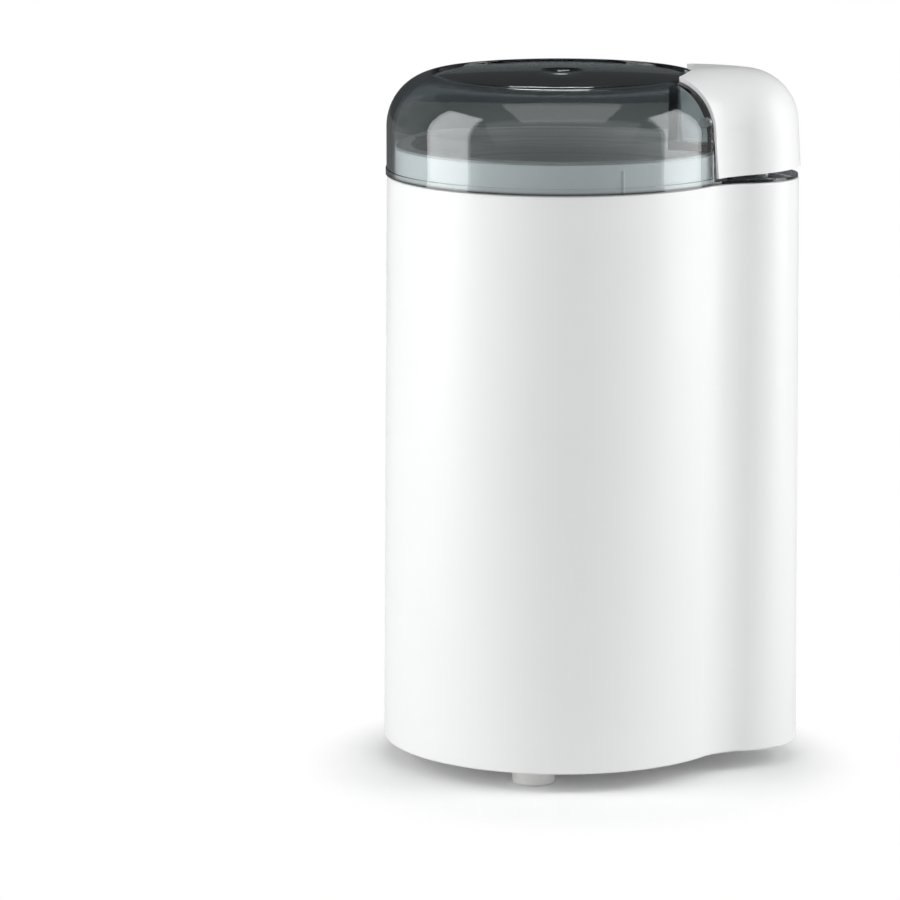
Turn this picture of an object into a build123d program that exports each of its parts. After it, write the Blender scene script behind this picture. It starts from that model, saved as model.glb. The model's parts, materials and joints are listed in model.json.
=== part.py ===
import os
from math import atan2, cos, degrees, radians, sin, sqrt, tan

from build123d import *

os.makedirs("parts", exist_ok=True)

# Body outline in plan at the base, and the housing shell
base_radius = 49.4
nose_radius = 17.7
nose_setback = 0.2
blend_radius = 19.0
body_height = 159.0
foot_height = 5.5
body_draft = 0.39
body_wall = 2.4
deck_thickness = 2.6
rim_round = 0.35
base_round = 0.6

# Fits and clearances shared by several pieces
seat_gap = 0.05
run_gap = 0.05
thread_gap = 0.05
overrun = 2.0
bite = 0.6

# Collar that locates the lid
collar_gap = 0.45
collar_wall = 2.2
collar_height = 8.1
collar_round = 0.4
rib_radius = 0.5
rib_gap = 0.12
rib_drop = 1.6
rib_angles = (56, 176, 296)

# Lid cover
lid_gap = 0.25
lid_overlap = 0.1
lid_wall = 2.0
lid_height = 28.2
dome_radius = 15.0
bead_width = 0.25
bead_height = 1.8
bead_round = 0.2
disc_margin = 12.5
disc_step = 1.0
disc_crown = 1.5
lip_round = 0.4
dimple_radius = 6.0
dimple_depth = 1.2

# Pocket in the lid for the lever
lever_angle = 26.0
lip_width = 1.0
flange_inset = 0.3
flange_thickness = 0.8
step_wall = 1.2
pocket_clearance = 0.6

# Lever, its pin and its spring
lever_inset = 0.5
lever_rise = 1.9
lever_bow = 100.0
lever_wall = 1.8
lever_flat = 0.9
lever_side_gap = 0.4
lever_swing_gap = 1.1
lever_press_gap = 0.6
lever_tilt = 3.6
hinge_setback = 8.5
hinge_share = 0.33
pin_radius = 1.25
pin_seat = 1.6
ear_radius = 2.9
ear_spread = 12.0
post_radius = 1.8
post_gap = 0.3
post_shoulder_radius = 5.2
post_shoulder_rise = 9.0
lever_wire_radius = 0.35
lever_coil_radius = 4.3
lever_coil_turns = 5

# Plunger that carries the press down to the switch
plunger_share = 0.3
plunger_radius = 2.2
plunger_gap = 0.15
plunger_sink = 0.2
plunger_hole_radius = 3.4
plunger_collar_radius = 2.95
plunger_collar_thickness = 1.5
plunger_tip_radius = 1.6
plunger_tip_length = 2.7
stop_gap = 0.3
guide_length = 6.0
guide_wall = 1.8
plunger_wire_radius = 0.25
plunger_coil_radius = 2.6
plunger_coil_turns = 4

# Switch
switch_margin = 1.4
switch_depth = 6.4
switch_height = 10.2
button_radius = 1.2
button_rise = 2.0
button_sink = 2.5
button_gap = 0.2
button_clearance = 0.1
terminal_width = 3.2
terminal_thickness = 0.6
terminal_length = 6.0
terminal_share = 0.35
terminal_root = 1.5
web_thickness = 2.2
web_margin = 1.0
web_drop = 1.2
switch_screw_radius = 1.0
switch_screw_share = 0.475
switch_screw_rise = 2.8
switch_screw_grip = 1.6
switch_head_radius = 1.9
switch_head_height = 1.4

# Grinding bowl and its seals
bowl_depth = 45.0
bowl_steel = 0.6
bowl_round = 13.0
bowl_lip_setback = 0.4
seal_height = 4.0
seal_thickness = 1.6
shaft_seal_radius = 9.6
shaft_seal_top = 1.6
shaft_seal_gap = 0.15

# Motor carrier and upper bush
hub_rise = 11.1
carrier_thickness = 4.0
carrier_gap = 0.9
hub_radius = 12.0
neck_radius = 7.6
neck_rise = 3.2
neck_lip = 1.4
neck_lip_gap = 0.4
bush_radius = 5.8
carrier_rib_count = 6
carrier_rib_thickness = 2.0
carrier_rib_height = 6.0
carrier_rib_setback = 7.3
carrier_window_gap = 5.0
carrier_window_margin = 11.3
carrier_window_share = 0.53
carrier_screw_angles = (78, 180, 282)
carrier_screw_radius = 1.5
carrier_screw_grip = 8.0
carrier_head_radius = 2.9
carrier_head_height = 2.0
boss_radius = 4.0
carrier_boss_height = 12.0

# Stator and field coils
motor_margin = 3.6
carrier_post_share = 0.135
stack_share = 0.27
stator_corner = 7.0
stator_angle = 52.8
side_yoke = 7.0
end_yoke = 8.0
pole_share = 0.365
shoe_thickness = 3.0
shoe_share = 0.475
bore_share = 0.565
coil_gap = 0.4
coil_end_gap = 0.8
coil_share = 0.36
coil_corner = 3.0
bolt_step_out = 3.0
bolt_step_up = 2.3
bolt_radius = 1.9
bolt_gap = 0.2
bolt_post_radius = 3.8
bolt_grip = 9.0
bolt_head_radius = 3.4
bolt_head_height = 2.6

# Armature, commutator and shaft
air_gap = 0.5
slot_count = 12
slot_fill = 0.6
slot_share = 0.3
slot_cover = 1.0
slot_mouth = 1.2
winding_gap = 0.15
winding_room = 2.6
winding_rise = 6.0
winding_round_share = 0.29
commutator_radius = 9.5
commutator_share = 0.43
commutator_space = 4.0
groove_count = 16
groove_width = 0.5
groove_depth = 1.0
shaft_radius = 4.0
shaft_tail = 1.0
washer_radius = 6.6
washer_thickness = 0.8
washer_gap = 0.3

# Lower bracket, its bush and the brush gear
bracket_post_share = 0.27
bracket_thickness = 4.0
bracket_radius = 28.0
bracket_arm = 11.0
bracket_hub_radius = 9.0
bracket_hub_drop = 5.0
brush_gap = 0.2
brush_width = 5.0
brush_height = 6.0
brush_length = 11.0
holder_wall = 1.0
holder_gap = 0.1
holder_start = 2.4
holder_length = 15.5
brush_wire_radius = 0.25
brush_coil_radius = 1.9
brush_coil_turns = 5

# Blade and its nut
blade_rise = 8.0
blade_clearance = 5.8
blade_thickness = 1.4
blade_hub_radius = 9.0
blade_root = 7.0
blade_root_width = 13.0
blade_tip_width = 10.0
blade_tip_lift = 3.2
blade_pitch = 16.0
stud_radius = 3.0
stud_length = 8.6
nut_radius = 6.4
nut_height = 6.2
nut_round = 2.4

# Base plate, its screws, the feet and the cord gland
plate_recess = 2.2
plate_thickness = 2.4
plate_gap = 0.35
base_screw_angles = (60, 180, 300)
base_screw_radius = 1.6
base_screw_grip = 9.0
base_head_radius = 3.0
base_head_height = 1.9
base_boss_height = 16.0
vent_count = 5
vent_length = 30.0
vent_width = 2.6
vent_pitch = 7.0
foot_margin = 13.4
foot_angles = (24, 144, 264)
foot_radius = 6.3
foot_taper = 0.4
foot_round = 0.8
foot_stem_radius = 2.6
foot_head_radius = 3.6
foot_head_height = 1.6
gland_level = 20.0
gland_bore = 3.4
gland_barrel = 4.8
gland_flange_radius = 6.5
gland_flange_thickness = 1.2
gland_recess = 0.5
gland_lip_radius = 5.8
gland_lip_thickness = 1.6

# Levels and radii that follow from the sizes above
draft_rate = tan(radians(body_draft))
nose_offset = base_radius - nose_setback
nose_reach = nose_offset + nose_radius
axis_x = (base_radius - nose_reach) / 2
rim_level = foot_height + body_height
rim_inset = body_height * draft_rate
lid_radius = base_radius - rim_inset + lid_overlap
lid_level = rim_level + lid_gap
lid_top = lid_level + lid_height
disc_radius = lid_radius - disc_margin
disc_level = lid_top - disc_step
disc_top = disc_level + disc_crown
collar_radius = lid_radius - lid_wall - collar_gap
collar_bore = collar_radius - collar_wall
collar_top = rim_level + collar_height
bowl_radius = collar_bore - seal_thickness
bowl_lip_radius = collar_radius - bowl_lip_setback
bowl_rim = collar_top + bowl_steel
bowl_floor = bowl_rim - bowl_depth
pocket_inner = disc_radius + lip_width
pocket_floor = bowl_rim + pocket_clearance + lid_wall
step_radius = lid_radius - lid_wall + step_wall
lever_shell_inset = rim_inset + lever_inset
lever_round = nose_radius - lever_shell_inset - lever_flat
lever_low = lid_level + flange_thickness + lever_press_gap
lever_top = lid_top + lever_rise
lever_inner = pocket_inner + lever_swing_gap
lever_turn = radians(lever_tilt)
hinge_offset = lid_radius - hinge_setback
hinge_level = pocket_floor + hinge_share * (lid_top - pocket_floor)
pin_half = hinge_offset * tan(radians(lever_angle)) + pin_seat
plunger_offset = nose_offset + plunger_share * nose_radius
post_travel = (plunger_offset - hinge_offset) * lever_turn

# Levels down the motor and its sizes in plan
plate_level = foot_height + plate_recess
plate_top = plate_level + plate_thickness
carrier_top = bowl_floor - hub_rise
carrier_level = carrier_top - carrier_thickness
neck_top = bowl_floor + bowl_steel + neck_rise
motor_room = carrier_level - plate_top
carrier_post_length = carrier_post_share * motor_room
stator_stack = stack_share * motor_room
bracket_post_length = bracket_post_share * motor_room
commutator_length = commutator_share * bracket_post_length
stator_top = carrier_level - carrier_post_length
stator_bottom = stator_top - stator_stack
bracket_top = stator_bottom - bracket_post_length
bracket_bottom = bracket_top - bracket_thickness
commutator_top = stator_bottom - winding_rise - commutator_space
brush_level = commutator_top - commutator_length / 2
corner_reach = base_radius - body_wall - motor_margin - stator_corner
corner_across = corner_reach * cos(radians(stator_angle))
corner_along = corner_reach * sin(radians(stator_angle))
stator_width = 2 * corner_across + 2 * stator_corner
stator_depth = 2 * corner_along + 2 * stator_corner
window_width = stator_width - 2 * side_yoke
window_depth = stator_depth - 2 * end_yoke
pole_width = pole_share * window_width
bore_radius = bore_share * window_depth / 2
shoe_radius = bore_radius + shoe_thickness
shoe_split = shoe_share * 2 * bore_radius
coil_depth = window_depth / 2 - shoe_radius - coil_gap - coil_end_gap
coil_thickness = coil_share * (window_width - pole_width) / 2
bolt_across = corner_across + bolt_step_out
bolt_along = corner_along + bolt_step_up
bolt_circle = sqrt(bolt_across ** 2 + bolt_along ** 2)
bolt_turn = degrees(atan2(bolt_along, bolt_across))
brush_turn = bolt_turn + 90
core_radius = bore_radius - air_gap
slot_depth = slot_share * core_radius
slot_inner = core_radius - slot_cover - slot_depth
slot_width = slot_fill * 2 * slot_inner * sin(radians(180 / slot_count))
winding_inner = shaft_radius + winding_room
winding_outer = core_radius - slot_cover - winding_gap
winding_round = winding_round_share * (winding_outer - winding_inner)
blade_level = bowl_floor + bowl_steel + blade_rise
blade_reach = bowl_radius - blade_clearance
foot_circle = base_radius - foot_margin

# Levels down the plunger and the switch
deck_under = rim_level - deck_thickness
guide_bottom = deck_under - guide_length
plunger_top = lid_level + flange_thickness - plunger_sink
post_bottom = plunger_top - post_travel + post_gap
plunger_shoulder = guide_bottom - stop_gap
plunger_bottom = plunger_shoulder - plunger_collar_thickness - plunger_tip_length
button_top = plunger_bottom - button_gap
switch_top = button_top - button_rise
switch_bottom = switch_top - switch_height
nose_room = nose_radius - rim_inset - body_wall
switch_corner = plunger_share * nose_radius + switch_depth / 2
switch_width = 2 * sqrt(nose_room ** 2 - switch_corner ** 2) - 2 * switch_margin
switch_screw_spread = switch_screw_share * switch_width
terminal_pitch = terminal_share * switch_width
web_width = switch_width + 2 * web_margin
web_face = plunger_offset - switch_depth / 2

spin = Axis((axis_x, 0, 0), (0, 0, 1))
side = Plane(origin=(axis_x, 0, 0), x_dir=(1, 0, 0), z_dir=(0, -1, 0))
rear = Plane(origin=(axis_x, 0, gland_level), x_dir=(-1, 0, 0), z_dir=(0, 1, 0))
front = Plane(origin=(axis_x, 0, 0), x_dir=(0, 1, 0), z_dir=(1, 0, 0))
hinge_axis = Axis((axis_x + hinge_offset, 0, hinge_level), (0, 1, 0))
low = (Align.CENTER, Align.CENTER, Align.MIN)
high = (Align.CENTER, Align.CENTER, Align.MAX)


def level(height):
    """Level plane at a height, centred on the motor shaft."""
    return Plane(origin=(axis_x, 0, height))


def outer_radius(height):
    """Outer radius of the round part of the drafted wall."""
    return base_radius - (height - foot_height) * draft_rate


def inner_radius(height):
    """Inner radius of the round part of the drafted wall."""
    return outer_radius(height) - body_wall


def around(circle, angles):
    """Points on a circle round the motor shaft."""
    return [(circle * cos(radians(a)), circle * sin(radians(a))) for a in angles]


def body_outline(height, inset):
    """Round body and nose joined by two hollow blends, drawn in by the inset."""
    round_radius = base_radius - inset
    tip_radius = nose_radius - inset
    hollow_radius = blend_radius + inset
    reach = round_radius + hollow_radius
    span = tip_radius + hollow_radius
    along = (reach ** 2 + nose_offset ** 2 - span ** 2) / (2 * nose_offset)
    across = sqrt(reach ** 2 - along ** 2)
    leave = degrees(atan2(across, along))
    land = degrees(atan2(across, along - nose_offset))
    with BuildSketch(level(height)) as outline:
        with BuildLine():
            CenterArc((0, 0), round_radius, leave, 360 - 2 * leave)
            CenterArc((along, -across), hollow_radius, 180 - leave, leave - land)
            CenterArc((nose_offset, 0), tip_radius, -land, 2 * land)
            CenterArc((along, across), hollow_radius, 180 + land, leave - land)
        make_face()
    return outline.sketch


def sector(height, inner, inset):
    """Wedge over the nose between two radial sides, outside an inner circle."""
    apex = inset / sin(radians(lever_angle))
    reach = nose_reach + overrun
    half = (reach - apex) * tan(radians(lever_angle))
    with BuildSketch(level(height)) as wedge:
        with BuildLine():
            Polyline((apex, 0), (reach, -half), (reach, half), close=True)
        make_face()
        Circle(inner, mode=Mode.SUBTRACT)
    return wedge.sketch


def lever_form(start, inset, top, bow, rounding):
    """Block over the body outline with a top that bows down to the nose and a round edge."""
    run = nose_reach + overrun - lever_inner
    drop = bow - sqrt(bow ** 2 - run ** 2)
    with BuildPart() as form:
        extrude(body_outline(start, inset), amount=top - start)
        with BuildSketch(side):
            with BuildLine():
                TangentArc((lever_inner, top), (lever_inner + run, top - drop), tangent=(1, 0))
                Polyline(
                    (lever_inner + run, top - drop),
                    (lever_inner + run, start),
                    (-nose_reach, start),
                    (-nose_reach, top),
                    (lever_inner, top),
                )
            make_face()
        extrude(amount=nose_reach, both=True, mode=Mode.INTERSECT)
        upper = form.edges().filter_by(GeomType.LINE, reverse=True)
        fillet(upper.filter_by_position(Axis.Z, hinge_level, top + overrun), rounding)
    return form.part


def coil_spring(plane, coil_radius, wire_radius, length, turns):
    """Round wire wound on a helix that starts on the plane."""
    pitch = length / turns
    with BuildPart() as coil:
        with BuildLine() as path:
            Helix(pitch=pitch, height=length, radius=coil_radius)
        start = path.line @ 0
        with BuildSketch(Plane(origin=start, z_dir=path.line % 0)):
            Circle(wire_radius)
        sweep(path=path.line, is_frenet=True)
    return coil.part.moved(plane.location)


# Housing: drafted shell with a flat deck, the lid collar, screw bosses and the plunger guide
with BuildPart() as housing:
    extrude(body_outline(foot_height, 0), amount=body_height, taper=body_draft)
    fillet(housing.edges().group_by(Axis.Z)[-1], rim_round)
    fillet(housing.edges().group_by(Axis.Z)[0], base_round)
    extrude(
        body_outline(foot_height, body_wall),
        amount=body_height - deck_thickness,
        taper=body_draft,
        mode=Mode.SUBTRACT,
    )
    with BuildSketch(level(deck_under)):
        Circle(collar_radius)
    extrude(amount=deck_thickness + collar_height)
    fillet(housing.edges().group_by(Axis.Z)[-1], collar_round)
    with BuildSketch(level(deck_under)):
        Circle(collar_bore)
    extrude(amount=deck_thickness + collar_height, mode=Mode.SUBTRACT)
    # Ribs that steady the lid on the collar
    rib_circle = lid_radius - lid_wall - rib_gap - rib_radius
    with BuildSketch(level(rim_level)):
        with Locations(*around(rib_circle, rib_angles)):
            Circle(rib_radius)
    extrude(amount=collar_height - rib_drop)
    # Bosses for the motor carrier
    carrier_circle = inner_radius(carrier_top) - boss_radius + bite
    with BuildSketch(level(carrier_top)):
        with Locations(*around(carrier_circle, carrier_screw_angles)):
            Circle(boss_radius)
    extrude(amount=carrier_boss_height)
    with BuildSketch(level(carrier_top)):
        with Locations(*around(carrier_circle, carrier_screw_angles)):
            Circle(carrier_screw_radius + thread_gap)
    extrude(amount=carrier_screw_grip + bite, mode=Mode.SUBTRACT)
    # Bosses for the base plate
    base_circle = inner_radius(plate_top) - boss_radius + bite
    with BuildSketch(level(plate_top)):
        with Locations(*around(base_circle, base_screw_angles)):
            Circle(boss_radius)
    extrude(amount=base_boss_height)
    with BuildSketch(level(plate_top)):
        with Locations(*around(base_circle, base_screw_angles)):
            Circle(base_screw_radius + thread_gap)
    extrude(amount=base_screw_grip + bite, mode=Mode.SUBTRACT)
    # Guide tube for the plunger and the web that carries the switch
    with BuildSketch(level(guide_bottom)):
        with Locations((plunger_offset, 0)):
            Circle(plunger_radius + plunger_gap + guide_wall)
    extrude(amount=guide_length + bite)
    with BuildSketch(level(switch_bottom - web_drop)):
        with Locations((web_face - web_thickness / 2, 0)):
            Rectangle(web_thickness, web_width)
    extrude(amount=deck_under + bite - switch_bottom + web_drop)
    with BuildSketch(level(guide_bottom - overrun)):
        with Locations((plunger_offset, 0)):
            Circle(plunger_radius + plunger_gap)
    extrude(amount=rim_level + overrun - guide_bottom + overrun, mode=Mode.SUBTRACT)
    with BuildSketch(front.offset(web_face)):
        with Locations(
            (-switch_screw_spread / 2, switch_bottom + switch_screw_rise),
            (switch_screw_spread / 2, switch_bottom + switch_screw_rise),
        ):
            Circle(switch_screw_radius + thread_gap)
    extrude(amount=-web_thickness, mode=Mode.SUBTRACT)
    # Stepped hole for the cord gland
    gland_face = outer_radius(gland_level) - gland_recess
    gland_seat = gland_face - gland_flange_thickness
    with BuildSketch(rear.offset(gland_seat)):
        Circle(gland_flange_radius + seat_gap)
    extrude(amount=overrun + gland_flange_thickness, mode=Mode.SUBTRACT)
    with BuildSketch(rear.offset(gland_seat)):
        Circle(gland_barrel + seat_gap)
    extrude(amount=-body_wall - overrun, mode=Mode.SUBTRACT)

# Base plate that closes the housing, with vents, screw holes and foot sockets
with BuildPart() as base_plate:
    plate_inset = body_wall + plate_gap + plate_top * draft_rate
    extrude(body_outline(plate_level, plate_inset), amount=plate_thickness)
    with BuildSketch(level(plate_level)):
        with GridLocations(0, vent_pitch, 1, vent_count):
            SlotOverall(vent_length, vent_width)
        with Locations(*around(base_circle, base_screw_angles)):
            Circle(base_screw_radius + bolt_gap)
        with Locations(*around(foot_circle, foot_angles)):
            Circle(foot_stem_radius + seat_gap)
    extrude(amount=plate_thickness, mode=Mode.SUBTRACT)

# Base screws
with BuildPart(level(plate_level)) as base_screws:
    with Locations(*around(base_circle, base_screw_angles)):
        Cylinder(base_head_radius, base_head_height, align=high)
        Cylinder(base_screw_radius, plate_thickness + base_screw_grip, align=low)

# Feet: soft pads with a stem through the plate
with BuildPart(level(plate_level)) as feet:
    with Locations(*around(foot_circle, foot_angles)):
        Cone(foot_radius - foot_taper, foot_radius, plate_level, align=high)
    fillet(feet.edges().group_by(Axis.Z)[0], foot_round)
    with Locations(*around(foot_circle, foot_angles)):
        Cylinder(foot_stem_radius, plate_thickness, align=low)
    with Locations(*[(x, y, plate_thickness) for x, y in around(foot_circle, foot_angles)]):
        Cylinder(foot_head_radius, foot_head_height, align=low)

# Cord gland in the rear wall
with BuildPart() as cord_gland:
    gland_groove = sqrt(inner_radius(gland_level) ** 2 - gland_lip_radius ** 2) - seat_gap
    gland_end = gland_groove - gland_lip_thickness
    with BuildSketch(rear.offset(gland_seat + seat_gap)):
        Circle(gland_flange_radius)
    extrude(amount=gland_face - gland_seat - seat_gap)
    with BuildSketch(rear.offset(gland_end)):
        Circle(gland_barrel)
    extrude(amount=gland_seat + bite - gland_end)
    with BuildSketch(rear.offset(gland_end)):
        Circle(gland_lip_radius)
    extrude(amount=gland_lip_thickness)
    with BuildSketch(rear.offset(gland_end)):
        Circle(gland_bore)
    extrude(amount=gland_face - gland_end, mode=Mode.SUBTRACT)

# Grinding bowl: drawn steel cup hung on the collar by its lip
with BuildPart() as bowl_hollow:
    with BuildSketch(level(bowl_floor + bowl_steel)):
        Circle(bowl_radius - bowl_steel)
    extrude(amount=bowl_depth)
    fillet(bowl_hollow.edges().group_by(Axis.Z)[0], bowl_round - bowl_steel)
with BuildPart() as grinding_bowl:
    with BuildSketch(level(bowl_floor)):
        Circle(bowl_radius)
    extrude(amount=bowl_depth)
    fillet(grinding_bowl.edges().group_by(Axis.Z)[0], bowl_round)
    with BuildSketch(level(collar_top)):
        Circle(bowl_lip_radius)
    extrude(amount=bowl_steel)
    add(bowl_hollow.part, mode=Mode.SUBTRACT)
    with BuildSketch(level(bowl_floor)):
        Circle(neck_radius + seat_gap)
    extrude(amount=bowl_steel, mode=Mode.SUBTRACT)

# Seal ring between the bowl and the collar
with BuildPart() as bowl_seal:
    with BuildSketch(level(collar_top - seal_height)):
        Circle(collar_bore - seat_gap)
        Circle(bowl_radius + seat_gap, mode=Mode.SUBTRACT)
    extrude(amount=seal_height)

# Soft cap that keeps grounds out of the upper bush
with BuildPart() as shaft_seal:
    with BuildSketch(level(bowl_floor + bowl_steel)):
        Circle(shaft_seal_radius)
    extrude(amount=neck_rise + shaft_seal_top)
    with BuildSketch(level(bowl_floor + bowl_steel)):
        Circle(neck_radius + seat_gap)
    extrude(amount=neck_rise, mode=Mode.SUBTRACT)
    with BuildSketch(level(neck_top)):
        Circle(shaft_radius + shaft_seal_gap)
    extrude(amount=shaft_seal_top, mode=Mode.SUBTRACT)

# Motor carrier: ribbed plate with the bearing hub, screwed to the housing bosses
with BuildPart() as motor_carrier:
    with BuildSketch(level(carrier_level)):
        carrier_radius = inner_radius(carrier_top) - carrier_gap
        carrier_rib_reach = carrier_radius - carrier_rib_setback
        window_start = hub_radius + carrier_window_gap
        window_length = carrier_radius - carrier_window_margin - window_start
        window_middle = window_start + window_length / 2
        window_turn = 180 / carrier_rib_count
        Circle(carrier_radius)
        with PolarLocations(window_middle, carrier_rib_count, start_angle=window_turn):
            SlotOverall(
                window_length, carrier_window_share * window_length, mode=Mode.SUBTRACT
            )
        with Locations(*around(carrier_circle, carrier_screw_angles)):
            Circle(carrier_screw_radius + bolt_gap, mode=Mode.SUBTRACT)
    extrude(amount=carrier_thickness)
    with BuildSketch(level(carrier_top)):
        with PolarLocations(carrier_rib_reach / 2, carrier_rib_count):
            Rectangle(carrier_rib_reach, carrier_rib_thickness)
    extrude(amount=carrier_rib_height)
    with BuildSketch(level(carrier_top)):
        Circle(hub_radius)
    extrude(amount=bowl_floor - carrier_top)
    with BuildSketch(level(bowl_floor)):
        Circle(neck_radius)
    extrude(amount=neck_top - bowl_floor)
    with BuildSketch(level(stator_top)):
        with PolarLocations(bolt_circle, 2, start_angle=bolt_turn):
            Circle(bolt_post_radius)
    extrude(amount=carrier_post_length + bite)
    with BuildSketch(level(stator_top)):
        with PolarLocations(bolt_circle, 2, start_angle=bolt_turn):
            Circle(bolt_radius + thread_gap)
    extrude(amount=bolt_grip + bite, mode=Mode.SUBTRACT)
    with BuildSketch(level(carrier_level)):
        Circle(bush_radius + seat_gap)
    extrude(amount=neck_top - neck_lip - carrier_level, mode=Mode.SUBTRACT)
    with BuildSketch(level(carrier_level)):
        Circle(shaft_radius + neck_lip_gap)
    extrude(amount=neck_top - carrier_level, mode=Mode.SUBTRACT)

# Upper bush
with BuildPart() as upper_bush:
    with BuildSketch(level(carrier_level)):
        Circle(bush_radius)
        Circle(shaft_radius + run_gap, mode=Mode.SUBTRACT)
    extrude(amount=neck_top - neck_lip - carrier_level)

# Carrier screws
with BuildPart(level(carrier_level)) as carrier_screws:
    with Locations(*around(carrier_circle, carrier_screw_angles)):
        Cylinder(carrier_head_radius, carrier_head_height, align=high)
        Cylinder(
            carrier_screw_radius, carrier_thickness + carrier_screw_grip, align=low
        )

# Stator core: stacked frame with two poles facing each other
with BuildPart() as stator_core:
    with BuildSketch(level(stator_bottom)) as pole_shoes:
        Circle(shoe_radius)
        Rectangle(2 * shoe_radius, shoe_split, mode=Mode.SUBTRACT)
    with BuildSketch(level(stator_bottom)) as stator_plan:
        RectangleRounded(stator_width, stator_depth, stator_corner)
        Rectangle(window_width, window_depth, mode=Mode.SUBTRACT)
        Rectangle(pole_width, window_depth)
        add(pole_shoes.sketch_local)
        Circle(bore_radius, mode=Mode.SUBTRACT)
        with PolarLocations(bolt_circle, 2, start_angle=bolt_turn):
            Circle(bolt_radius + bolt_gap, mode=Mode.SUBTRACT)
    extrude(stator_plan.sketch, amount=stator_stack)

# Field coils: one flat winding round each pole
with BuildPart() as field_coils:
    coil_inner = pole_width / 2 + coil_gap
    coil_outer = coil_inner + coil_thickness
    coil_start = shoe_radius + coil_gap
    stack_middle = stator_bottom + stator_stack / 2
    for start in (coil_start, -coil_start - coil_depth):
        with BuildSketch(side.offset(start)):
            with Locations((0, stack_middle)):
                RectangleRounded(
                    2 * coil_outer, stator_stack + 2 * coil_gap + 2 * coil_thickness, coil_corner
                )
                Rectangle(2 * coil_inner, stator_stack + 2 * coil_gap, mode=Mode.SUBTRACT)
        extrude(amount=coil_depth)

# Long bolts through the lower bracket and the stator into the carrier posts
with BuildPart(level(bracket_bottom)) as motor_bolts:
    with PolarLocations(bolt_circle, 2, start_angle=bolt_turn):
        Cylinder(bolt_head_radius, bolt_head_height, align=high)
        Cylinder(bolt_radius, stator_top + bolt_grip - bracket_bottom, align=low)

# Lower bracket: cross bar with posts, a bearing hub and two brush seats
with BuildPart() as lower_bracket:
    holder_inner = commutator_radius + holder_start
    holder_middle = holder_inner + holder_length / 2
    holder_bottom = brush_level - brush_height / 2 - holder_gap - holder_wall
    holder_width = brush_width + 2 * holder_gap + 2 * holder_wall
    with BuildSketch(level(bracket_bottom)):
        SlotCenterToCenter(2 * bolt_circle, bracket_arm, rotation=bolt_turn)
        Circle(bracket_radius)
    extrude(amount=bracket_thickness)
    with BuildSketch(level(bracket_bottom - bracket_hub_drop)):
        Circle(bracket_hub_radius)
    extrude(amount=bracket_hub_drop)
    with BuildSketch(level(bracket_top)):
        with PolarLocations(bolt_circle, 2, start_angle=bolt_turn):
            Circle(bolt_post_radius)
    extrude(amount=bracket_post_length)
    with BuildSketch(level(bracket_top)):
        with PolarLocations(holder_middle, 2, start_angle=brush_turn):
            Rectangle(holder_length, holder_width)
    extrude(amount=holder_bottom - bracket_top)
    with BuildSketch(level(bracket_bottom)):
        with PolarLocations(bolt_circle, 2, start_angle=bolt_turn):
            Circle(bolt_radius + bolt_gap)
    extrude(amount=bracket_thickness + bracket_post_length, mode=Mode.SUBTRACT)
    with BuildSketch(level(bracket_bottom - bracket_hub_drop)):
        Circle(bush_radius + seat_gap)
    extrude(amount=bracket_thickness + bracket_hub_drop, mode=Mode.SUBTRACT)

# Lower bush
with BuildPart() as lower_bush:
    with BuildSketch(level(bracket_bottom - bracket_hub_drop)):
        Circle(bush_radius)
        Circle(shaft_radius + run_gap, mode=Mode.SUBTRACT)
    extrude(amount=bracket_thickness + bracket_hub_drop)

# Brush holders: square tubes closed at the outer end
with BuildPart() as brush_holders:
    with BuildSketch(level(holder_bottom)):
        with PolarLocations(holder_middle, 2, start_angle=brush_turn):
            Rectangle(holder_length, holder_width)
    extrude(amount=brush_height + 2 * holder_gap + 2 * holder_wall)
    with BuildSketch(level(brush_level - brush_height / 2 - holder_gap)):
        with PolarLocations(holder_middle - holder_wall, 2, start_angle=brush_turn):
            Rectangle(holder_length, brush_width + 2 * holder_gap)
    extrude(amount=brush_height + 2 * holder_gap, mode=Mode.SUBTRACT)

# Carbon brushes with ends hollowed to the commutator
with BuildPart() as carbon_brushes:
    brush_end = commutator_radius + brush_gap + brush_length
    with BuildSketch(level(brush_level - brush_height / 2)):
        with PolarLocations(brush_end / 2, 2, start_angle=brush_turn):
            Rectangle(brush_end, brush_width)
        Circle(commutator_radius + brush_gap, mode=Mode.SUBTRACT)
    extrude(amount=brush_height)

# Springs behind the brushes
brush_springs = []
for turn in (brush_turn, brush_turn + 180):
    spring_start = brush_end + brush_wire_radius + seat_gap
    spring_stop = holder_inner + holder_length - holder_wall - brush_wire_radius - seat_gap
    outward = (cos(radians(turn)), sin(radians(turn)), 0)
    spring_plane = Plane(
        origin=(axis_x + spring_start * outward[0], spring_start * outward[1], brush_level),
        x_dir=(0, 0, 1),
        z_dir=outward,
    )
    brush_springs.append(
        coil_spring(
            spring_plane,
            brush_coil_radius,
            brush_wire_radius,
            spring_stop - spring_start,
            brush_coil_turns,
        )
    )

# Shaft with a stud for the blade
with BuildPart() as motor_shaft:
    with BuildSketch(level(bracket_bottom - bracket_hub_drop - shaft_tail)):
        Circle(shaft_radius)
    extrude(amount=blade_level - bracket_bottom + bracket_hub_drop + shaft_tail)
    with BuildSketch(level(blade_level)):
        Circle(stud_radius)
    extrude(amount=stud_length)

# Armature core with its winding slots
with BuildPart() as armature_core:
    slot_middle = core_radius - slot_cover - slot_depth / 2
    with BuildSketch(level(stator_bottom)):
        Circle(core_radius)
        Circle(shaft_radius + seat_gap, mode=Mode.SUBTRACT)
        with PolarLocations(slot_middle, slot_count):
            Rectangle(slot_depth, slot_width, mode=Mode.SUBTRACT)
        with PolarLocations(core_radius, slot_count):
            Rectangle(2 * slot_cover + slot_depth / 2, slot_mouth, mode=Mode.SUBTRACT)
    extrude(amount=stator_stack)

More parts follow.
